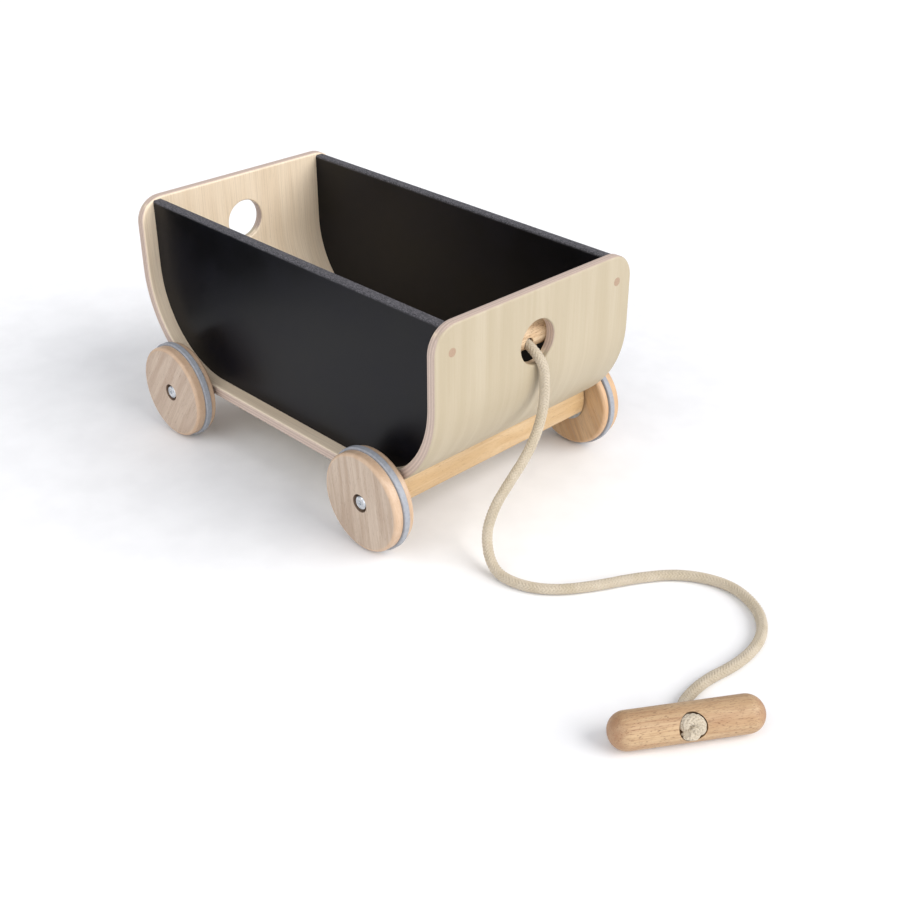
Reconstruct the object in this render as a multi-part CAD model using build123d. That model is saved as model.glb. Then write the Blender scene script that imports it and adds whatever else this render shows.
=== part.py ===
from build123d import *
import math
import os

# A small wooden wagon on four wheels, pulled by a cord with a turned handle.
# +X points forward to the pull end, +Y to the left and +Z up. The ground is
# z = 0 and the origin lies on it, under the middle of the wagon.
# All sizes are in millimetres and all angles in degrees.

# Body: one strip of plywood bent into front wall, floor and rear wall.
body_length = 420.0
body_width = 242.0
ply_thickness = 10.0
ground_clearance = 50.5       # from the ground to the underside of the floor
wall_top = 224.5              # height of the end walls above the ground
bend_radius = 93.0            # inside of the two bends
wall_corner_radius = 25.0
ply_edge_round = 2.5

# Round hand hole in each end wall.
hand_hole_diameter = 41.0
hand_hole_drop = 49.5         # from the wall's top to the hole's centre
hand_hole_round = 1.5

# Flat side boards, set in from the edges of the plywood.
side_thickness = 10.0
side_inset = 14.5             # from the plywood's edge to the board's outer face
side_top_drop = 2.75          # how far the board stays below the end walls
side_edge_round = 2.0

# Dowels through the end walls into the ends of the side boards.
dowel_diameter = 8.0
dowel_length = 35.0
dowel_drop = 24.75            # from the wall's top to the dowel's centre

# Axles: steel rods in wooden beams under the bends.
wheelbase = 285.0
rod_diameter = 6.0
beam_width = 43.6             # across the rounded front and rear faces
beam_bottom = 41.75           # height of the beam's underside above the ground
beam_face_radius = 40.0       # curve of the front and rear faces
beam_widest_height = 56.5     # where those faces bulge most
beam_corner_radius = 4.5
beam_overhang = 1.0           # how far each end stands out past the plywood
beam_end_round = 1.0
washer_diameter = 38.0
washer_thickness = 1.5
washer_bore_clearance = 0.2
washer_play = 1.0             # between the washer and the wheel

# Wheels: turned wood with a rubber tyre in a groove.
tyre_diameter = 96.0
wheel_diameter = 92.0
wheel_width = 22.0
wheel_edge_round = 3.0
groove_depth = 4.0
groove_width = 6.7
groove_offset = 9.1           # from the wheel's outer face to the groove
tyre_width = 6.0
tyre_side_gap = 0.1           # between the tyre and the groove's outer wall
tyre_edge_round = 1.0
groove_edge_round = 0.8
wheel_bore_clearance = 0.1    # round the rod, for free running
hub_recess_diameter = 17.0
hub_recess_depth = 5.0
cap_diameter = 13.6
cap_height = 4.2
cap_edge_round = 2.0
cap_play = 0.4                # between the cap and the floor of its recess
cap_grip = 2.2                # length of rod inside the cap
dimple_diameter = 3.0
dimple_depth = 0.8

# Pull bars: the handle on the ground and the toggle behind the front wall.
bar_diameter = 29.0
handle_length = 118.0
toggle_length = 118.0
bar_end_round = 14.0
counterbore_diameter = 21.5
counterbore_depth = 10.0
cord_hole_clearance = 0.5     # round the cord
handle_place = (274.3, -135.6)   # ahead of the front wall, and to the left
handle_turn = 57.0               # of the bar's axis from +X about the vertical
handle_hole_rise = 24.0       # of the cord hole towards its counterbore
toggle_hole_fall = 14.0       # of the cord hole towards the front
toggle_drop = 51.0            # from the wall's top to the toggle's axis
toggle_wall_gap = 0.1
rim_lead = 5.5                # of the cord's turn over the hole's rim, ahead of the wall

# Cord: soft braided cotton, with a knot in the counterbore of each bar.
cord_diameter = 9.5
knot_lobe_diameter = 11.4
knot_lobe_offset = 4.4        # from the hole's axis to each lobe's centre
knot_lobe_angles = (95.0, 215.0, 335.0)
knot_gap = 0.3                # between a knot and the floor of its counterbore
arc_share = 0.45              # of the shorter run beside each corner

tolerance = 0.001             # for telling edges apart by size and place

# Values that follow from the sizes above.
wall_outer = body_length / 2
wall_inner = wall_outer - ply_thickness
floor_top = ground_clearance + ply_thickness
side_outer = body_width / 2 - side_inset
side_middle = side_outer - side_thickness / 2
side_top = wall_top - side_top_drop
axle_height = tyre_diameter / 2
axle_x = wheelbase / 2
beam_half_length = body_width / 2 + beam_overhang
wheel_inner_face = beam_half_length + washer_thickness + washer_play
wheel_outer_face = wheel_inner_face + wheel_width
hub_floor = wheel_outer_face - hub_recess_depth
cap_inner_face = hub_floor + cap_play
cord_hole_radius = cord_diameter / 2 + cord_hole_clearance
knot_seat = counterbore_depth - knot_gap
toggle_setback = ply_thickness + toggle_wall_gap + bar_diameter / 2
rim_reach = (toggle_setback + rim_lead) / math.cos(math.radians(toggle_hole_fall))

ENDS = {"front": 1, "rear": -1}
SIDES = {"left": 1, "right": -1}


def along_x(radius, length):
    """A cylinder about the X axis, centred on the origin."""
    return Rot(0, 90, 0) * Cylinder(radius, length)


def along_y(radius, start, end):
    """A cylinder about the Y axis, from y = start to y = end."""
    middle = (start + end) / 2
    return Pos(0, middle, 0) * Rot(90, 0, 0) * Cylinder(radius, end - start)


def trough(inset, top):
    """The U shape seen from the side, as a filled face in the XZ plane.

    Its outline runs `inset` inside the outer face of the plywood, up to `top`.
    """
    bottom = ground_clearance + inset
    width = body_length - 2 * inset
    face = Pos(0, (bottom + top) / 2) * Rectangle(width, top - bottom)
    lower_corners = face.vertices().sort_by(Axis.Y)[:2]
    return Plane.XZ * fillet(lower_corners, bend_radius + ply_thickness - inset)


def dowel(x_sign, y_sign, length):
    """A dowel at a wall's outer face, reaching `length` back along X."""
    height = wall_top - dowel_drop
    place = Pos(x_sign * (wall_outer - length / 2), y_sign * side_middle, height)
    return place * along_x(dowel_diameter / 2, length)


def all_dowels():
    return [dowel(end, side, dowel_length) for end in ENDS.values() for side in SIDES.values()]


def plywood_body():
    """Front wall, floor and rear wall, bent from one strip."""
    section = trough(0, wall_top) - trough(ply_thickness, wall_top)
    body = extrude(section, body_width / 2, both=True)
    top_edges = body.edges().filter_by(Axis.X).filter_by_position(Axis.Z, wall_top, wall_top)
    body = fillet(top_edges, wall_corner_radius)

    def is_sharp(edge):
        across_strip = abs((edge % 0.5).Y) > 1 - tolerance
        runs_along = abs((edge % 0.5).X) > 1 - tolerance
        through_strip = runs_along and edge.length < ply_thickness + tolerance
        at_top = edge.center().Z > wall_top - tolerance
        return not through_strip and (at_top or not across_strip)

    body = fillet(body.edges().filter_by(is_sharp), ply_edge_round)
    for end in ENDS.values():
        wall_middle = Pos(end * (wall_inner + ply_thickness / 2), 0, wall_top - hand_hole_drop)
        body -= wall_middle * along_x(hand_hole_diameter / 2, 2 * ply_thickness)
    rims = body.edges().filter_by(GeomType.CIRCLE).filter_by(
        lambda edge: abs(edge.radius - hand_hole_diameter / 2) < tolerance
    )
    body = fillet(rims, hand_hole_round)
    return body - all_dowels()


def side_board(side):
    """A flat board that fills the trough's outline, with a dowel hole in each end."""
    face = Pos(0, side * side_middle, 0) * trough(ply_thickness, side_top)
    board = extrude(face, side_thickness / 2, both=True)
    top_edges = board.edges().filter_by(Axis.X).filter_by_position(Axis.Z, side_top, side_top)
    return fillet(top_edges, side_edge_round) - all_dowels()


def wall_dowels(end):
    """The two dowels of one end wall."""
    return Compound([dowel(end, side, dowel_length) for side in SIDES.values()])


def axle_beam(end):
    """A beam that carries an axle, hollowed on top to fit the bend above it."""
    def face_x(height):
        drop = height - beam_widest_height
        sagitta = beam_face_radius - math.sqrt(beam_face_radius**2 - drop**2)
        return beam_width / 2 - sagitta

    top = beam_widest_height + (beam_widest_height - beam_bottom)
    corner = face_x(beam_bottom)
    outline = [
        Line((-corner, beam_bottom), (corner, beam_bottom)),
        ThreePointArc((corner, beam_bottom), (beam_width / 2, beam_widest_height), (corner, top)),
        Line((corner, top), (-corner, top)),
        ThreePointArc((-corner, top), (-beam_width / 2, beam_widest_height), (-corner, beam_bottom)),
    ]
    face = make_face(outline)
    face = fillet(face.vertices().sort_by(Axis.Y)[:2], beam_corner_radius)
    block = extrude(Plane.XZ * face, beam_half_length, both=True)
    end_edges = block.faces().filter_by(Axis.Y).edges()
    block = Pos(end * axle_x, 0, 0) * fillet(end_edges, beam_end_round)
    block -= extrude(trough(0, wall_top), body_width, both=True)
    rod_hole = along_y(rod_diameter / 2, -body_width, body_width)
    return block - Pos(end * axle_x, 0, axle_height) * rod_hole


def axle_rod(end):
    """A steel rod that reaches into the cap at each of its ends."""
    reach = cap_inner_face + cap_grip
    return Pos(end * axle_x, 0, axle_height) * along_y(rod_diameter / 2, -reach, reach)


def hub_place(end, side):
    """Place of a wheel's parts, which are built for the left side with +Y outwards."""
    turn = Rot(0, 0, 0) if side > 0 else Rot(0, 0, 180)
    return Pos(end * axle_x, 0, axle_height) * turn


def washer(end, side):
    """A flat washer between a beam's end and its wheel."""
    start = beam_half_length
    ring = along_y(washer_diameter / 2, start, start + washer_thickness)
    bore = rod_diameter / 2 + washer_bore_clearance
    return hub_place(end, side) * (ring - along_y(bore, 0, 2 * start))


def axle_cap(end, side):
    """A domed cap pushed on the rod's end, with a dimple in its middle."""
    outer = cap_inner_face + cap_height
    cap = along_y(cap_diameter / 2, cap_inner_face, outer)
    cap = fillet(cap.edges().sort_by(Axis.Y)[-1], cap_edge_round)
    cap -= along_y(rod_diameter / 2, 0, cap_inner_face + cap_grip)
    cap -= along_y(dimple_diameter / 2, outer - dimple_depth, outer + dimple_depth)
    return hub_place(end, side) * cap


def wheel(end, side):
    """A turned wooden wheel with a tyre groove and a recess for the cap."""
    disc = along_y(wheel_diameter / 2, wheel_inner_face, wheel_outer_face)
    disc = fillet(disc.edges().filter_by(GeomType.CIRCLE), wheel_edge_round)
    groove_end = wheel_outer_face - groove_offset
    groove_start = groove_end - groove_width
    ring = along_y(wheel_diameter, groove_start, groove_end)
    disc -= ring - along_y(wheel_diameter / 2 - groove_depth, groove_start, groove_end)
    lips = disc.edges().filter_by(GeomType.CIRCLE).filter_by(
        lambda edge: abs(edge.radius - wheel_diameter / 2) < tolerance
        and groove_start - tolerance < edge.center().Y < groove_end + tolerance
    )
    disc = fillet(lips, groove_edge_round)
    disc -= along_y(hub_recess_diameter / 2, hub_floor, wheel_outer_face + 1)
    disc -= along_y(rod_diameter / 2 + wheel_bore_clearance, 0, wheel_outer_face)
    return hub_place(end, side) * disc


def tyre(end, side):
    """A rubber band in the wheel's groove, standing out past the wood."""
    outer = wheel_outer_face - groove_offset - tyre_side_gap
    band = along_y(tyre_diameter / 2, outer - tyre_width, outer)
    band = fillet(band.edges().filter_by(GeomType.CIRCLE), tyre_edge_round)
    bore = along_y(wheel_diameter / 2 - groove_depth, 0, wheel_outer_face)
    return hub_place(end, side) * (band - bore)


def pull_bar(length):
    """A round-ended bar along Y; its cord hole runs along X to a counterbore at -X."""
    bar = along_y(bar_diameter / 2, -length / 2, length / 2)
    bar = fillet(bar.edges().filter_by(GeomType.CIRCLE), bar_end_round)
    bar -= along_x(cord_hole_radius, 2 * bar_diameter)
    seat = Pos(counterbore_depth - bar_diameter, 0, 0)
    return bar - seat * along_x(counterbore_diameter / 2, bar_diameter)


def knot():
    """The cord's end tied into a knot of round lobes, for a bar built by pull_bar."""
    seat = knot_seat - bar_diameter / 2
    lobe_radius = knot_lobe_diameter / 2
    lobe_x = seat - lobe_radius
    tied = Pos(lobe_x / 2 + seat / 2, 0, 0) * along_x(cord_diameter / 2, lobe_radius)
    for angle in knot_lobe_angles:
        lobe_y = knot_lobe_offset * math.cos(math.radians(angle))
        lobe_z = knot_lobe_offset * math.sin(math.radians(angle))
        tied += Pos(lobe_x, lobe_y, lobe_z) * Sphere(lobe_radius)
    return tied


handle_frame = (
    Pos(wall_outer + handle_place[0], handle_place[1], bar_diameter / 2)
    * Rot(0, 0, handle_turn + 90)
    * Rot(0, handle_hole_rise, 0)
)
toggle_frame = (
    Pos(wall_outer - toggle_setback, 0, wall_top - toggle_drop)
    * Rot(0, toggle_hole_fall, 0)
)


def along_hole(frame, distance):
    """A point on the axis of a bar's cord hole, `distance` towards the counterbore."""
    return (frame * Pos(-distance, 0, 0)).position


def ahead(forward, left, up):
    """A point placed from the middle of the front wall's outer face, and from the ground."""
    return Vector(wall_outer + forward, left, up)


def bend_radii(points):
    """The largest arc for each corner that its two runs leave room for."""
    radii = []
    for before, corner, after in zip(points, points[1:], points[2:]):
        arriving = corner - before
        leaving = after - corner
        reach = arc_share * min(arriving.length, leaving.length)
        radii.append(reach / math.tan(math.radians(arriving.get_angle(leaving)) / 2))
    return radii


def pull_cord():
    """The cord from the toggle's knot out over the rim and along the ground to the handle's."""
    ground = cord_diameter / 2
    seat = bar_diameter / 2 - knot_seat
    hole_climb = bar_diameter / 2 - ground
    climb_length = hole_climb / math.sin(math.radians(handle_hole_rise))
    route = [
        along_hole(toggle_frame, seat),
        along_hole(toggle_frame, -rim_reach),
        ahead(5.8, 5, 129.5),
        ahead(9.5, -3, 104),
        ahead(18, -27, 86),
        ahead(20, -51, 69),
        ahead(19.5, -71, 50),
        ahead(18.5, -80, 24),
        ahead(38, -91, ground),
        ahead(66, -92, ground),
        ahead(92, -78, ground),
        ahead(113, -49, ground),
        ahead(131, -12, ground),
        ahead(155, 21, ground),
        ahead(193, 37, ground),
        ahead(230, 24, ground),
        ahead(252, -5, ground),
        ahead(257, -44, ground),
        ahead(249, -84, ground),
        along_hole(handle_frame, -climb_length),
        along_hole(handle_frame, seat),
    ]
    radii = bend_radii(route)
    path = FilletPolyline(*route, radius=radii)
    tube = sweep(Plane(path @ 0, z_dir=path % 0) * Circle(cord_diameter / 2), path=path)
    section = math.pi * cord_diameter**2 / 4
    print("cord length", round(path.length, 1), "mm")
    print("volume over section x length", round(tube.volume / (section * path.length), 4))
    for point, radius in zip(route[1:], radii):
        print("  corner", tuple(round(value, 1) for value in point), "radius", round(radius, 1))
    return tube


nodes = {
    "plywood_body": plywood_body(),
    "pull_cord": pull_cord(),
    "pull_handle": handle_frame * pull_bar(handle_length),
    "handle_knot": handle_frame * knot(),
    "pull_toggle": toggle_frame * pull_bar(toggle_length),
    "toggle_knot": toggle_frame * knot(),
}
for side_name, side in SIDES.items():
    nodes[f"{side_name}_side_board"] = side_board(side)
for end_name, end in ENDS.items():
    nodes[f"{end_name}_wall_dowels"] = wall_dowels(end)
    nodes[f"{end_name}_axle_beam"] = axle_beam(end)
    nodes[f"{end_name}_axle_rod"] = axle_rod(end)
    for side_name, side in SIDES.items():
        corner_name = f"{end_name}_{side_name}"
        nodes[f"{corner_name}_washer"] = washer(end, side)
        nodes[f"{corner_name}_axle_cap"] = axle_cap(end, side)
        nodes[f"{corner_name}_wheel"] = wheel(end, side)
        nodes[f"{corner_name}_tyre"] = tyre(end, side)

os.makedirs("parts", exist_ok=True)
for name, shape in nodes.items():
    export_step(shape, f"parts/{name}.step")
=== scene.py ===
import math

import bmesh
import bpy
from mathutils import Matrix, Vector


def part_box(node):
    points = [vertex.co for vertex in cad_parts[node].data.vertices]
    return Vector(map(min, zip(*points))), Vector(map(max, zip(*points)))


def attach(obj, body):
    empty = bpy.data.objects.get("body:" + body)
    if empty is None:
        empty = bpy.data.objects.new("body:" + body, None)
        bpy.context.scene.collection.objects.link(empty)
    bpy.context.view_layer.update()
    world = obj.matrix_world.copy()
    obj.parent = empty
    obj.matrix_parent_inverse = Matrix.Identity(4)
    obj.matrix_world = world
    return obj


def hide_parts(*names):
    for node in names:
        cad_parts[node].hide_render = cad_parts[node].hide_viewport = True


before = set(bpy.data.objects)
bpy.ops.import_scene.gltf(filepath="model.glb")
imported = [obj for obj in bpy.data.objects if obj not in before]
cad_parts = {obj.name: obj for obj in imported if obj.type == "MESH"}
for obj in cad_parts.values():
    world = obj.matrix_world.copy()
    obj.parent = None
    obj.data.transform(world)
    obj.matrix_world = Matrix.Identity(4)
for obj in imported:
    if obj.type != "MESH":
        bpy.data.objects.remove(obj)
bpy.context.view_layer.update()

MM = 0.001

ENDS = ("front", "rear")
SIDES = ("left", "right")

# ---------------------------------------------------------------- places from the frame

body_low, body_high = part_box("plywood_body")
board_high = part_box("right_side_board")[1]
handle_low, handle_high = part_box("pull_handle")
toggle_low, toggle_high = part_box("pull_toggle")
wheel_low, wheel_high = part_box("front_left_wheel")

PLY = body_high[0] - board_high[0]                  # thickness of the plywood
PLY_COUNT = 7                                       # plies that show on the strip's edges
WALL_X = body_high[0]
BEND_OUTER = 103 * MM                               # outside radius of the bends
BEND_X = WALL_X - BEND_OUTER
BEND_Z = body_low[2] + BEND_OUTER
BAR_RADIUS = (toggle_high[0] - toggle_low[0]) / 2
BAR_HALF = (toggle_high[1] - toggle_low[1]) / 2
WHEEL_RADIUS = (wheel_high[2] - wheel_low[2]) / 2
HUB_RADIUS = 8.5 * MM                               # of the recess round a wheel's cap


def middle(box):
    """The middle of a CAD node's box."""
    return (Vector(box[0]) + Vector(box[1])) / 2


# ---------------------------------------------------------------- camera, light and floor

CAMERA_AZIMUTH = 45.7                               # degrees from -Y, turning to +X
CAMERA_ELEVATION = 30.29                            # degrees above the floor
CAMERA_AIM = Vector((150.5, -46.0, 63.4)) * MM
CAMERA_DISTANCE = 1173.2 * MM
LENS = 52.51                                        # mm, on the sensor below
SENSOR_WIDTH = 36.0
SKY_STRENGTH = 0.56
SKY_TINT = "#F6F8FF"
FLOOR_HALF = 6.0                                    # metres from the middle to each edge
CARD_SIZE = 3.0                                     # metres along each side
CARD_AWAY = 140 * MM                                # from the wagon's rear end back to the card
CARD_LIFT = 2 * MM                                  # above the floor


def look(thing, place, target):
    """Put a lamp or camera at a place and turn it to a target."""
    thing.location = place
    thing.rotation_euler = (Vector(target) - Vector(place)).to_track_quat("-Z", "Y").to_euler()


def direction(azimuth, elevation):
    """Unit vector towards an azimuth from -Y, turning to +X, and an elevation, in degrees."""
    around, up = math.radians(azimuth), math.radians(elevation)
    return Vector((math.sin(around) * math.cos(up), -math.cos(around) * math.cos(up), math.sin(up)))


def add_camera():
    data = bpy.data.cameras.new("camera")
    data.lens = LENS
    data.sensor_width = SENSOR_WIDTH
    camera = bpy.data.objects.new("camera", data)
    away = direction(CAMERA_AZIMUTH, CAMERA_ELEVATION) * CAMERA_DISTANCE
    look(camera, CAMERA_AIM + away, CAMERA_AIM)
    bpy.context.collection.objects.link(camera)
    bpy.context.scene.camera = camera


def add_soft_sun(name, azimuth, elevation, strength, spread, tint):
    """A distant lamp as wide as a large softbox, so that its shadows are soft."""
    data = bpy.data.lights.new(name, "SUN")
    data.angle = math.radians(spread)
    data.energy = strength
    data.color = tint
    lamp = bpy.data.objects.new(name, data)
    look(lamp, direction(azimuth, elevation), (0, 0, 0))
    bpy.context.collection.objects.link(lamp)


def add_sheet(name, half_side, material):
    """A flat square of the studio, level with the floor."""
    mesh = bpy.data.meshes.new(name)
    shape = bmesh.new()
    bmesh.ops.create_grid(shape, x_segments=1, y_segments=1, size=half_side)
    shape.to_mesh(mesh)
    shape.free()
    mesh.materials.append(material)
    sheet = bpy.data.objects.new(name, mesh)
    bpy.context.collection.objects.link(sheet)
    return sheet


def add_studio():
    """A plain pale floor under an even, slightly cool sky."""
    add_sheet("studio_floor", FLOOR_HALF, studio_paper())
    world = bpy.data.worlds.new("studio")
    world.use_nodes = True
    sky = world.node_tree.nodes["Background"].inputs
    sky["Color"].default_value = colour(SKY_TINT)
    sky["Strength"].default_value = SKY_STRENGTH
    bpy.context.scene.world = world
    bpy.context.scene.view_settings.view_transform = "Standard"


def add_dark_card():
    """A dark card beside the wagon that only shows in reflections, as a flag in a studio."""
    card = add_sheet("dark_card", CARD_SIZE / 2, black_card())
    card.location = (body_low[0] - CARD_AWAY - CARD_SIZE / 2, body_low[1] - CARD_SIZE / 2, CARD_LIFT)
    card.visible_camera = False
    card.visible_diffuse = False
    card.visible_shadow = False
    card.visible_transmission = False


# ---------------------------------------------------------------- materials

FACTOR, UNDER, OVER, MIXED = 0, 6, 7, 2             # sockets of a node that mixes two colours


def colour(code):
    """Linear colour of an sRGB hex value."""
    parts = [int(code[i:i + 2], 16) / 255 for i in (1, 3, 5)]
    return [p / 12.92 if p <= 0.04045 else ((p + 0.055) / 1.055) ** 2.4 for p in parts] + [1.0]


def add(tree, kind, inputs=None, output=0, **settings):
    """Add a node with its settings, link or set its inputs, and return one of its outputs."""
    node = tree.nodes.new(kind)
    for name, value in settings.items():
        setattr(node, name, value)
    for name, value in (inputs or {}).items():
        if isinstance(value, bpy.types.NodeSocket):
            tree.links.new(value, node.inputs[name])
        elif isinstance(value, str):
            node.inputs[name].default_value = colour(value)
        else:
            node.inputs[name].default_value = value
    return node.outputs[output]


def new_material(name, **uniform):
    """A material, its tree, its shader with uniform sockets set directly, and object coordinates."""
    material = bpy.data.materials.new(name)
    material.use_nodes = True
    tree = material.node_tree
    shader = tree.nodes["Principled BSDF"]
    for socket, value in uniform.items():
        shader.inputs[socket.replace("_", " ")].default_value = value
    return material, tree, shader, add(tree, "ShaderNodeTexCoord", output="Object")


def pattern(tree, coords, sizes, detail=3, roughness=0.55, distortion=0):
    """A noise from 0 to 1 whose features have these sizes in mm along the three axes."""
    scale = [1 / (size * MM) for size in sizes]
    scaled = add(tree, "ShaderNodeMapping", {"Vector": coords, "Scale": scale})
    wanted = {"Vector": scaled, "Scale": 1, "Detail": detail}
    wanted |= {"Roughness": roughness, "Distortion": distortion}
    return add(tree, "ShaderNodeTexNoise", wanted, "Fac")


def coated(tree, tone, *coats):
    """A tone under coats, each a pattern, where it starts and is full, its strength and its tone."""
    for value, start, full, strength, coat in coats:
        ramp = {"Value": value, "From Min": start, "From Max": full, "To Max": strength}
        cover = add(tree, "ShaderNodeMapRange", ramp, interpolation_type="SMOOTHSTEP")
        layers = {FACTOR: cover, UNDER: tone, OVER: coat}
        tone = add(tree, "ShaderNodeMix", layers, MIXED, data_type="RGBA")
    return tone


def finish(tree, shader, tone, height, depth):
    """Give a surface its tone, and a relief from a height of 0 to 1 times a depth in mm."""
    tree.links.new(tone, shader.inputs["Base Color"])
    relief = add(tree, "ShaderNodeBump", {"Height": height, "Distance": depth * MM, "Strength": 1})
    tree.links.new(relief, shader.inputs["Normal"])


def studio_paper():
    """Matt white paper: no gloss, a trace of fibre."""
    material, tree, shader, coords = new_material("studio_paper", Roughness=1.0, Specular_IOR_Level=0.0)
    fibre = pattern(tree, coords, (40, 40, 40))
    tone = coated(tree, "#F4F4F4", (fibre, 0.3, 0.7, 1, "#F8F8F8"))
    tree.links.new(tone, shader.inputs["Base Color"])
    return material


def black_card():
    """Matt black card with a faint tooth."""
    material, tree, shader, coords = new_material("black_card", Roughness=1.0, Specular_IOR_Level=0.0)
    tooth = pattern(tree, coords, (5, 5, 5))
    tone = coated(tree, "#050505", (tooth, 0, 1, 1, "#0A0A0A"))
    tree.links.new(tone, shader.inputs["Base Color"])
    return material


def grain(tree, coords, along, streak, figure, pore):
    """Streaks, broad figure and pores of wood, each as a 0 to 1 value.

    along says for each axis whether the grain runs that way. Each pair is the
    feature's width across the grain and its length along it, in mm.
    """
    def sized(pair):
        return [pair[1] if runs else pair[0] for runs in along]

    streaks = pattern(tree, coords, sized(streak), detail=4, roughness=0.6)
    figures = pattern(tree, coords, sized(figure), detail=2, distortion=0.6)
    pores = pattern(tree, coords, sized(pore), detail=1)
    return streaks, figures, pores


def pore_relief(tree, pores):
    """Height of planed or turned wood: 1 on the surface and 0 down in its open pores."""
    ramp = {"Value": pores, "From Min": 0.6, "From Max": 0.75, "To Min": 1, "To Max": 0}
    return add(tree, "ShaderNodeMapRange", ramp, interpolation_type="SMOOTHSTEP")


def strip_depth(tree, coords):
    """How many plies deep a point of the bent strip lies, counted from its outer face."""
    x = add(tree, "ShaderNodeSeparateXYZ", {"Vector": coords}, "X")
    z = add(tree, "ShaderNodeSeparateXYZ", {"Vector": coords}, "Z")
    x_size = add(tree, "ShaderNodeMath", {0: x}, operation="ABSOLUTE")
    past = add(tree, "ShaderNodeMath", {0: x_size, 1: BEND_X}, operation="SUBTRACT")
    past = add(tree, "ShaderNodeMath", {0: past, 1: 0.0}, operation="MAXIMUM")
    below = add(tree, "ShaderNodeMath", {0: BEND_Z, 1: z}, operation="SUBTRACT")
    below = add(tree, "ShaderNodeMath", {0: below, 1: 0.0}, operation="MAXIMUM")
    from_bend = add(tree, "ShaderNodeCombineXYZ", {"X": past, "Z": below})
    radius = add(tree, "ShaderNodeVectorMath", {0: from_bend}, "Value", operation="LENGTH")
    depth = add(tree, "ShaderNodeMath", {0: BEND_OUTER, 1: radius}, operation="SUBTRACT")
    return add(tree, "ShaderNodeMath", {0: depth, 1: PLY / PLY_COUNT}, operation="DIVIDE")


def is_plywood_edge(tree, coords):
    """1 on the strip's edges, which face sideways, and on the walls' tops, which face up."""
    facing = add(tree, "ShaderNodeNewGeometry", output="Normal")
    side = add(tree, "ShaderNodeSeparateXYZ", {"Vector": facing}, "Y")
    side = add(tree, "ShaderNodeMath", {0: side}, operation="ABSOLUTE")
    up = add(tree, "ShaderNodeSeparateXYZ", {"Vector": facing}, "Z")
    height = add(tree, "ShaderNodeSeparateXYZ", {"Vector": coords}, "Z")
    ranges = (
        (side, 0.6, 0.85),
        (up, 0.6, 0.85),
        (height, body_high[2] - 40 * MM, body_high[2] - 20 * MM),
    )
    sideways, upward, near_top = [
        add(
            tree, "ShaderNodeMapRange", {"Value": value, "From Min": low, "From Max": high},
            interpolation_type="SMOOTHSTEP",
        )
        for value, low, high in ranges
    ]
    top = add(tree, "ShaderNodeMath", {0: upward, 1: near_top}, operation="MULTIPLY")
    return add(tree, "ShaderNodeMath", {0: sideways, 1: top}, operation="MAXIMUM")


def bent_plywood():
    """Rotary-cut hardwood veneer on a bent plywood core, clear satin lacquer.

    The faces are pale with fine vertical streaks; the inside faces are painted lighter,
    painted light that stands in for their brighter lighting. The edges show the plies.
    """
    material, tree, shader, coords = new_material("bent_plywood", Roughness=0.46, IOR=1.5)
    streaks, figures, pores = grain(tree, coords, (True, False, True), (1.1, 70), (16, 260), (0.5, 6))
    outer = coated(tree, "#BCB098", (figures, 0.3, 0.7, 1, "#B3A68C"))
    # The inside faces get a lighter tone than the outside: painted light, not a different veneer.
    painted_light_inner = coated(tree, "#F0DEC4", (figures, 0.3, 0.7, 1, "#E8D4B8"))
    layer = strip_depth(tree, coords)
    face = coated(
        tree, outer,
        (layer, 3, 4, 1, painted_light_inner),
        (streaks, 0.38, 0.75, 0.3, "#AD9A7F"),
        (pores, 0.66, 0.8, 0.3, "#927C62"),
    )

    # Every second ply lies across the strip and shows darker end grain.
    pair = add(tree, "ShaderNodeMath", {0: layer, 1: 0.5}, operation="MULTIPLY")
    phase = add(tree, "ShaderNodeMath", {0: pair}, operation="FRACT")
    across = add(tree, "ShaderNodeMath", {0: phase, 1: 0.5}, operation="PINGPONG")
    fuzz = pattern(tree, coords, (0.7, 0.7, 0.7), detail=4)
    edge = coated(tree, "#CDB9AB", (across, 0.2, 0.3, 1, "#B7A397"), (fuzz, 0.35, 0.7, 0.5, "#A5907F"))
    layers = {FACTOR: is_plywood_edge(tree, coords), UNDER: face, OVER: edge}
    tone = add(tree, "ShaderNodeMix", layers, MIXED, data_type="RGBA")

    ramp = {"Value": pores, "From Min": 0.66, "From Max": 0.8, "To Min": 1, "To Max": 0}
    between = add(tree, "ShaderNodeMapRange", ramp, interpolation_type="SMOOTHSTEP")
    relief = add(tree, "ShaderNodeMath", {0: streaks, 1: between}, operation="MULTIPLY")
    finish(tree, shader, tone, relief, 0.06)
    return material


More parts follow.
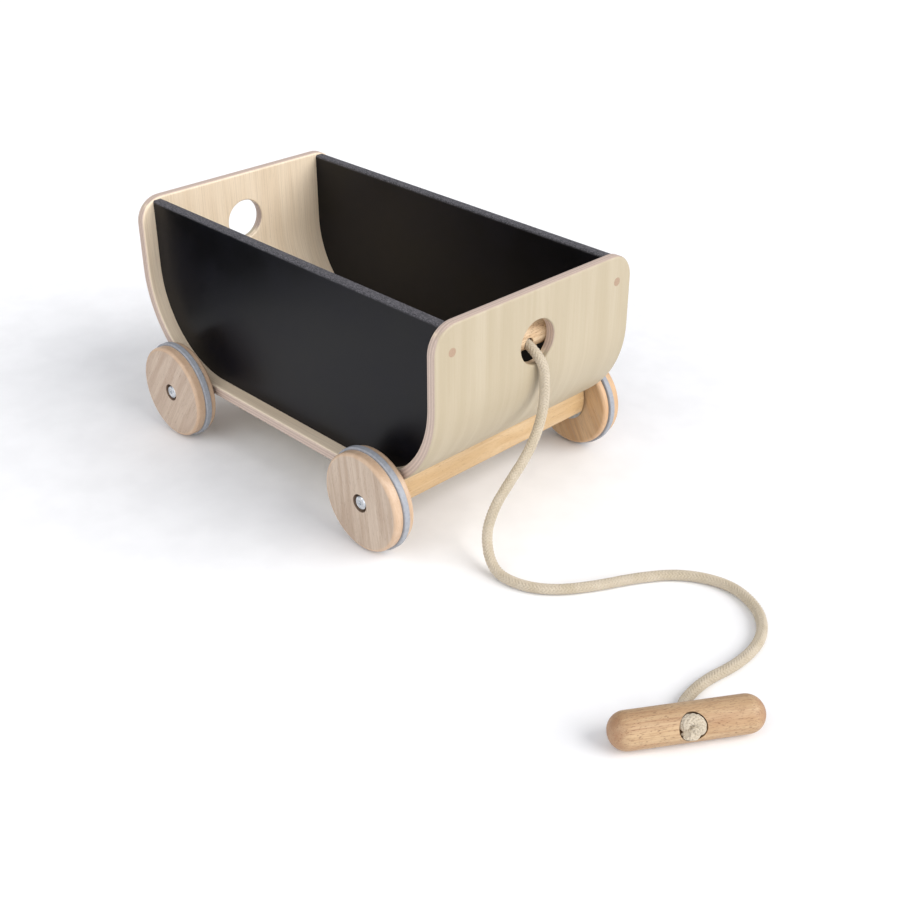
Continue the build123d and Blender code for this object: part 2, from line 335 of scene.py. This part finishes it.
def black_lacquer():
    """Black water-based lacquer sprayed on a flat board: matt, grey along the top edge from wear and a
    painted highlight.
    """
    uniform = {"IOR": 1.45, "Specular_IOR_Level": 0.25}
    material, tree, shader, coords = new_material("black_board", **uniform)
    cloud = pattern(tree, coords, (60, 60, 45))
    height = add(tree, "ShaderNodeSeparateXYZ", {"Vector": coords}, "Z")
    # The grey along the top edge is partly wear and partly a painted highlight where the light from above
    # falls.
    wear_and_highlight_low, wear_and_highlight_high = board_high[2] - 3.2 * MM, board_high[2] - 0.6 * MM
    tone = coated(
        tree, "#060609",
        (cloud, 0.3, 0.7, 1, "#0A0A11"),
        (height, wear_and_highlight_low, wear_and_highlight_high, 1, "#39383B"),
    )
    # The specks are drawn coarser than real ones, so that they show.
    speckle = pattern(tree, coords, (1.5, 0.9, 0.9), detail=5, roughness=0.8)
    ranges = ((height, wear_and_highlight_low, wear_and_highlight_high, 0, 1), (speckle, 0.46, 0.56, 0, 1), (cloud, 0.2, 0.8, 0.3, 0.4))
    at_top, specks, gloss = [
        add(
            tree, "ShaderNodeMapRange",
            {"Value": value, "From Min": low, "From Max": high, "To Min": least, "To Max": most},
            interpolation_type="SMOOTHSTEP",
        )
        for value, low, high, least, most in ranges
    ]
    # The pale specks on the top edge: wear, and a painted highlight.
    wear_and_highlight = add(tree, "ShaderNodeMath", {0: at_top, 1: specks}, operation="MULTIPLY")
    tone = add(tree, "ShaderNodeMix", {FACTOR: wear_and_highlight, UNDER: tone, OVER: "#69676B"}, MIXED, data_type="RGBA")
    roughness = add(tree, "ShaderNodeMath", {0: at_top, 1: 0.3, 2: gloss}, operation="MULTIPLY_ADD")
    tree.links.new(roughness, shader.inputs["Roughness"])
    finish(tree, shader, tone, pattern(tree, coords, (0.9, 0.9, 0.9), detail=2), 0.02)
    return material


def beam_wood():
    """Planed rubberwood, clear lacquer: warm tan with long streaks along the beam."""
    material, tree, shader, coords = new_material("beam_rubberwood", Roughness=0.42, IOR=1.5)
    streaks, figures, pores = grain(tree, coords, (False, True, False), (1.6, 45), (10, 90), (0.5, 5))
    tone = coated(
        tree, "#D2B68E",
        (figures, 0.3, 0.7, 1, "#C6A67A"),
        (streaks, 0.4, 0.75, 0.6, "#BC996C"),
        (pores, 0.62, 0.72, 0.6, "#8F6A44"),
    )
    finish(tree, shader, tone, pore_relief(tree, pores), 0.08)
    return material


def wheel_wood(name, centre, turn, light, dark):
    """Turned rubberwood, clear lacquer: streaks across the disc, a painted highlight on the rim, painted
    shade in the hub recess.
    """
    material, tree, shader, coords = new_material(name, Roughness=0.42, IOR=1.5)
    from_hub = add(tree, "ShaderNodeMapping", {"Vector": coords, "Location": -centre})
    turned = add(tree, "ShaderNodeMapping", {"Vector": from_hub, "Rotation": (0, turn, 0)})
    shifted = add(tree, "ShaderNodeMapping", {"Vector": turned, "Location": centre})
    streaks, figures, pores = grain(tree, shifted, (False, False, True), (1.2, 55), (9, 110), (0.45, 6))
    in_plane = add(tree, "ShaderNodeVectorMath", {0: turned, 1: (1, 0, 1)}, operation="MULTIPLY")
    radius = add(tree, "ShaderNodeVectorMath", {0: in_plane}, "Value", operation="LENGTH")
    tone = coated(
        tree, light,
        (figures, 0.32, 0.68, 1, dark),
        (streaks, 0.4, 0.75, 0.65, "#A98F79"),
        (pores, 0.62, 0.74, 0.5, "#7D6350"),
        # A lighter, warmer band round the rim: a painted highlight on the rounded edge.
        (radius, WHEEL_RADIUS - 3.8 * MM, WHEEL_RADIUS - 1.5 * MM, 0.45, "#D6B08A"),
    )
    # Darker brown inside the hub recess: painted shade round the cap.
    tone = coated(tree, "#6B5443", (radius, HUB_RADIUS - 0.1 * MM, HUB_RADIUS + 0.2 * MM, 1, tone))
    finish(tree, shader, tone, pore_relief(tree, pores), 0.08)
    return material


def bar_wood(name, middle_point, along_angle, light, dark):
    """Turned beech, oiled: tan, with short dark rays along the bar and darker end grain at its ends."""
    material, tree, shader, coords = new_material(name, Roughness=0.48, IOR=1.48)
    centred = add(tree, "ShaderNodeMapping", {"Vector": coords, "Location": -middle_point})
    turned = add(tree, "ShaderNodeMapping", {"Vector": centred, "Rotation": (0, 0, -along_angle)})
    streaks, figures, pores = grain(tree, turned, (True, False, False), (1.3, 34), (8, 60), (0.55, 3.4))
    along = add(tree, "ShaderNodeSeparateXYZ", {"Vector": turned}, "X")
    reach = add(tree, "ShaderNodeMath", {0: along}, operation="ABSOLUTE")
    tone = coated(
        tree, light,
        (figures, 0.3, 0.7, 1, dark),
        (streaks, 0.4, 0.75, 0.6, "#997250"),
        (pores, 0.59, 0.69, 0.7, "#6E4B30"),
        (reach, BAR_HALF - 13 * MM, BAR_HALF - 2 * MM, 0.5, "#976A4C"),
    )
    ramp = {"Value": pores, "From Min": 0.59, "From Max": 0.69, "To Min": 1, "To Max": 0.3}
    rays = add(tree, "ShaderNodeMapRange", ramp, interpolation_type="SMOOTHSTEP")
    finish(tree, shader, tone, rays, 0.12)
    return material


def dowel_wood():
    """End grain of a hard dowel: a little darker than the veneer, dotted with pores."""
    material, tree, shader, coords = new_material("dowel_end_grain", Roughness=0.5, IOR=1.5)
    dots = pattern(tree, coords, (0.7, 0.7, 0.7))
    finish(tree, shader, coated(tree, "#B1957D", (dots, 0.35, 0.7, 1, "#97806A")), dots, 0.05)
    return material


def grey_rubber():
    """Moulded grey rubber: matt, faintly mottled."""
    material, tree, shader, coords = new_material("grey_rubber", Roughness=0.62, IOR=1.52)
    mottle = pattern(tree, coords, (3, 3, 3), detail=5, roughness=0.7)
    tone = coated(tree, "#A3A6AC", (mottle, 0.3, 0.7, 1, "#92969D"))
    finish(tree, shader, tone, pattern(tree, coords, (0.5, 0.5, 0.5)), 0.03)
    return material


def zinc_steel(name, roughness, tone):
    """Zinc-plated pressed steel: bright, with faint clouding."""
    material, tree, shader, coords = new_material(name, Metallic=1.0)
    cloud = pattern(tree, coords, (2.5, 2.5, 2.5), detail=4)
    ramp = {"Value": cloud, "From Min": 0.2, "From Max": 0.8}
    ramp |= {"To Min": roughness, "To Max": roughness + 0.12}
    dull = add(tree, "ShaderNodeMapRange", ramp, interpolation_type="SMOOTHSTEP")
    tree.links.new(dull, shader.inputs["Roughness"])
    tone = coated(tree, tone, (cloud, 0.3, 0.7, 1, "#AEB3B8"))
    finish(tree, shader, tone, pattern(tree, coords, (0.4, 0.4, 0.4)), 0.01)
    return material


def cotton_yarn():
    """Unbleached cotton yarn: matt and warm white, fine fibres, darker between strands."""
    surface = {"Roughness": 0.9, "Sheen_Weight": 0.25, "Sheen_Roughness": 0.5}
    material, tree, shader, coords = new_material("cotton_yarn", **surface)
    # The fibres are drawn many times coarser than real ones, so that they show.
    fibres = pattern(tree, coords, (0.45, 0.45, 0.45), detail=5, roughness=0.75)
    patches = pattern(tree, coords, (14, 14, 14), detail=2)
    tone = coated(
        tree, "#C9BDA9",
        (patches, 0.3, 0.7, 1, "#BFB29B"),
        (fibres, 0.45, 0.75, 0.7, "#A19076"),
    )
    finish(tree, shader, tone, fibres, 0.25)
    return material


# ---------------------------------------------------------------- cord

CORD_DIAMETER = 9.5 * MM
KNOT_STRAND = 8.8 * MM                              # the cord, drawn tight in a knot
BRAID_LAY = 24 * MM                                 # length of cord in which a yarn goes once round
YARNS_PER_WAY = 8
YARN_SHARE = 0.125                                  # a yarn's radius, as a share of the cord's diameter
SWING_SHARE = 0.03                                  # how far a yarn weaves in and out, likewise
ROUTE_STEPS = 40                                    # points on the line for each point of the route
KNOT_STEPS = 14

HOLE_FALL = math.radians(14)                        # of the toggle's hole towards the front
HOLE_RISE = math.radians(24)                        # of the handle's hole towards its counterbore
BAR_TURN = math.radians(57)                         # of the handle from +X
KNOT_SEAT = 9.7 * MM                                # from a bar's surface down to its knot's seat
SEAT = BAR_RADIUS - KNOT_SEAT                       # the same, from the bar's axis outwards
RIM_LEAD = 5.5 * MM                                 # from the wall to the cord's turn over the rim

TOGGLE_MIDDLE = middle((toggle_low, toggle_high))
TOGGLE_OUT = Vector((-math.cos(HOLE_FALL), 0, math.sin(HOLE_FALL)))
TOGGLE_RIGHT = Vector((0, 1, 0))
HANDLE_MIDDLE = middle((handle_low, handle_high))
HANDLE_MIDDLE.z = BAR_RADIUS
HANDLE_OUT = Vector((
    math.sin(BAR_TURN) * math.cos(HOLE_RISE),
    -math.cos(BAR_TURN) * math.cos(HOLE_RISE),
    math.sin(HOLE_RISE),
))
HANDLE_RIGHT = Vector((math.cos(BAR_TURN), math.sin(BAR_TURN), 0))
RIM_REACH = (WALL_X + RIM_LEAD - TOGGLE_MIDDLE.x) / math.cos(HOLE_FALL)
CLIMB = (BAR_RADIUS - CORD_DIAMETER / 2) / math.sin(HOLE_RISE)
LIE = CORD_DIAMETER / 2 / MM                        # height of the lying cord's middle, in mm


def ahead(forward, left, up):
    """A point placed in mm from the front wall's outer face, and from the ground."""
    return Vector((WALL_X + forward * MM, left * MM, up * MM))


# The route of the cord's middle, from the toggle's knot to the handle's.
ROUTE = [
    TOGGLE_MIDDLE + TOGGLE_OUT * SEAT,
    TOGGLE_MIDDLE - TOGGLE_OUT * RIM_REACH,
    ahead(5.8, 5, 129.5),
    ahead(9.5, -3, 104),
    ahead(18, -27, 86),
    ahead(20, -51, 69),
    ahead(19.5, -71, 50),
    ahead(18.5, -80, 24),
    ahead(38, -91, LIE),
    ahead(66, -92, LIE),
    ahead(92, -78, LIE),
    ahead(113, -49, LIE),
    ahead(131, -12, LIE),
    ahead(155, 21, LIE),
    ahead(193, 37, LIE),
    ahead(230, 24, LIE),
    ahead(252, -5, LIE),
    ahead(257, -44, LIE),
    ahead(249, -84, LIE),
    HANDLE_MIDDLE - HANDLE_OUT * CLIMB,
    HANDLE_MIDDLE + HANDLE_OUT * SEAT,
]

# The strand of a knot: right, up and out from its bar's axis, in mm.
KNOT_ROUTE = [
    (0, 0, 4.6), (-2, 0, 7.4), (-6.2, 1.2, 10), (-4.8, 5.2, 12), (0.6, 6.3, 12.6), (5.6, 3.4, 12.8),
    (5.8, -2.6, 12.6), (1.2, -1, 11.8), (2.4, -6.4, 11), (-3.6, -5.2, 11.2), (-4.6, -3.8, 12.8),
]


def mesh_of(curve_data):
    """The mesh that a curve makes."""
    thing = bpy.data.objects.new("curve", curve_data)
    bpy.context.collection.objects.link(thing)
    bpy.context.view_layer.update()
    shaped = thing.evaluated_get(bpy.context.evaluated_depsgraph_get())
    mesh = bpy.data.meshes.new_from_object(shaped)
    bpy.data.objects.remove(thing)
    return mesh


def nurbs_line(points, steps):
    """The smooth line with these control points, as closely spaced points."""
    data = bpy.data.curves.new("route", "CURVE")
    data.dimensions = "3D"
    data.resolution_u = steps
    spline = data.splines.new("NURBS")
    spline.points.add(len(points) - 1)
    for point, place in zip(spline.points, points):
        point.co = (*place, 1)
    spline.order_u = 3
    spline.use_endpoint_u = True
    return [vertex.co.copy() for vertex in mesh_of(data).vertices]


def frames_along(line):
    """For each point of a line, two directions across it that don't twist, and the length so far."""
    later = line[1:] + line[-1:]
    earlier = line[:1] + line[:-1]
    across = (later[0] - earlier[0]).normalized().orthogonal().normalized()
    length = 0.0
    frames = []
    for place, before, after in zip(line, earlier, later):
        tangent = (after - before).normalized()
        across = (across - tangent * across.dot(tangent)).normalized()
        length += (place - before).length
        frames.append((across.copy(), tangent.cross(across), length))
    return frames


def yarn_line(line, frames, way, number, braid_radius, swing):
    """The line of one yarn, which winds one way round the core and weaves over two and under two."""
    places = []
    for place, (across, beside, length) in zip(line, frames):
        turns = way * length / BRAID_LAY
        weave = way * math.cos(math.pi * (YARNS_PER_WAY * turns + number) - math.pi / 4)
        angle = 2 * math.pi * (turns + number / YARNS_PER_WAY)
        spoke = across * math.cos(angle) + beside * math.sin(angle)
        places.append(place + spoke * (braid_radius + swing * weave))
    return places


def add_strand(data, places, thickness):
    """One strand of a curve through these places, as a multiple of the curve's own thickness."""
    spline = data.splines.new("POLY")
    spline.points.add(len(places) - 1)
    for point, place in zip(spline.points, places):
        point.co = (*place, 1)
        point.radius = thickness


def braided_cord(name, line, diameter, yarn):
    """A tubular braid of sixteen yarns round a core."""
    yarn_radius = YARN_SHARE * diameter
    swing = SWING_SHARE * diameter
    braid_radius = diameter / 2 - yarn_radius - swing
    data = bpy.data.curves.new(name, "CURVE")
    data.dimensions = "3D"
    data.bevel_depth = yarn_radius
    data.bevel_resolution = 1
    data.use_fill_caps = True
    frames = frames_along(line)
    for way in (1, -1):
        for number in range(YARNS_PER_WAY):
            add_strand(data, yarn_line(line, frames, way, number, braid_radius, swing), 1)
    add_strand(data, line, braid_radius / yarn_radius)
    mesh = mesh_of(data)
    mesh.name = name
    mesh.materials.clear()
    mesh.materials.append(yarn)
    mesh.polygons.foreach_set("use_smooth", [True] * len(mesh.polygons))
    cord = bpy.data.objects.new(name, mesh)
    bpy.context.collection.objects.link(cord)
    return cord


def add_knot(node, middle_point, out, right, yarn):
    """The strand that is tied in a bar's counterbore, in place of a CAD knot."""
    up = out.cross(right)
    route = [middle_point + (right * r + up * u + out * o) * MM for r, u, o in KNOT_ROUTE]
    knot = braided_cord(f"tied_{node}", nurbs_line(route, KNOT_STEPS), KNOT_STRAND, yarn)
    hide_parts(node)
    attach(knot, "wagon")
    return knot


def add_cord():
    """The cord with a knot at each end."""
    yarn = cotton_yarn()
    line = nurbs_line(ROUTE, ROUTE_STEPS)
    cord = braided_cord("braided_cord", line, CORD_DIAMETER, yarn)
    knots = [
        add_knot("toggle_knot", TOGGLE_MIDDLE, TOGGLE_OUT, TOGGLE_RIGHT, yarn),
        add_knot("handle_knot", HANDLE_MIDDLE, HANDLE_OUT, HANDLE_RIGHT, yarn),
    ]
    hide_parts("pull_cord")
    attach(cord, "wagon")


# ---------------------------------------------------------------- finishes on the pieces

# Each wheel is cut from its own board: the turn of its grain, and its two tones.
WHEEL_BOARDS = {
    "front_left": (0.5, "#D0AE84", "#BC9468"),
    "front_right": (0.12, "#C4B29F", "#B19C88"),
    "rear_left": (-0.9, "#CBB297", "#B89B7D"),
    "rear_right": (-0.6, "#C4B09C", "#B39C88"),
}


def paint(node, material):
    """Give a CAD node one material."""
    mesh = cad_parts[node].data
    mesh.materials.clear()
    mesh.materials.append(material)


def paint_body():
    """The plywood strip, the side boards and the dowels."""
    paint("plywood_body", bent_plywood())
    black = black_lacquer()
    for side in SIDES:
        paint(f"{side}_side_board", black)
    dowels = dowel_wood()
    for end in ENDS:
        paint(f"{end}_wall_dowels", dowels)


def paint_axles():
    """The beams, rods, washers and caps."""
    beam = beam_wood()
    steel = zinc_steel("zinc_steel", 0.3, "#C9CCCF")
    bright_steel = zinc_steel("bright_steel", 0.12, "#E4E7EA")
    for end in ENDS:
        paint(f"{end}_axle_beam", beam)
        paint(f"{end}_axle_rod", steel)
        for side in SIDES:
            paint(f"{end}_{side}_washer", steel)
            paint(f"{end}_{side}_axle_cap", bright_steel)


def paint_wheels():
    """The wheels and their tyres."""
    rubber = grey_rubber()
    for place, board in WHEEL_BOARDS.items():
        centre = middle(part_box(f"{place}_wheel"))
        paint(f"{place}_wheel", wheel_wood(f"{place}_rubberwood", centre, *board))
        paint(f"{place}_tyre", rubber)


add_camera()
add_soft_sun("key", azimuth=112, elevation=33, strength=2.7, spread=50, tint=(1.0, 0.985, 0.975))
add_soft_sun("fill", azimuth=10, elevation=24, strength=1.5, spread=80, tint=(0.97, 0.98, 1.0))
add_studio()
add_dark_card()
add_cord()
paint_body()
paint_axles()
paint_wheels()
paint("pull_handle", bar_wood("handle_beech", HANDLE_MIDDLE, BAR_TURN, "#C3A681", "#B08D69"))
paint("pull_toggle", bar_wood("toggle_beech", TOGGLE_MIDDLE, math.pi / 2, "#DCC3A0", "#CDAF89"))
